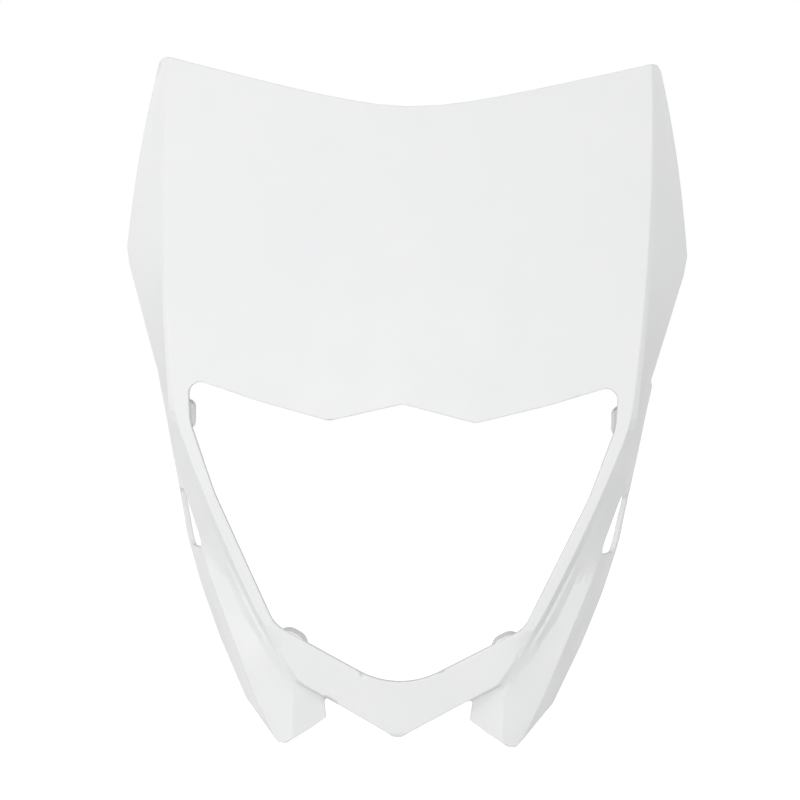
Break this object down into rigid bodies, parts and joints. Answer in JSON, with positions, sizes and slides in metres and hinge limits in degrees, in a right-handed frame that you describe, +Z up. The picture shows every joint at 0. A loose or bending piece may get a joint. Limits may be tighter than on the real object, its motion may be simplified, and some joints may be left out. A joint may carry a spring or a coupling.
{
  "type": "motorcycle headlight fairing",
  "caption": "Thin-walled moulded headlight fairing with a number panel, folded wings, a V shaped lamp opening, strap slots in the side walls and feet behind the lower bar.",
  "frame": {"origin": "midway between the two upper lamp lug holes, in the plane of the lugs' rear faces", "axes": "+Z up, -Y towards the front of the motorcycle, +Y along the lug holes towards the lamp, +X to the right as seen from the front"},
  "size_m": [0.272, 0.0759, 0.3289],
  "materials": {
    "white_polypropylene": "satin, injection moulded, unpainted"
  },
  "bodies": {
    "root": {"headlight_fairing": "white_polypropylene"}
  },
  "joints": []
}
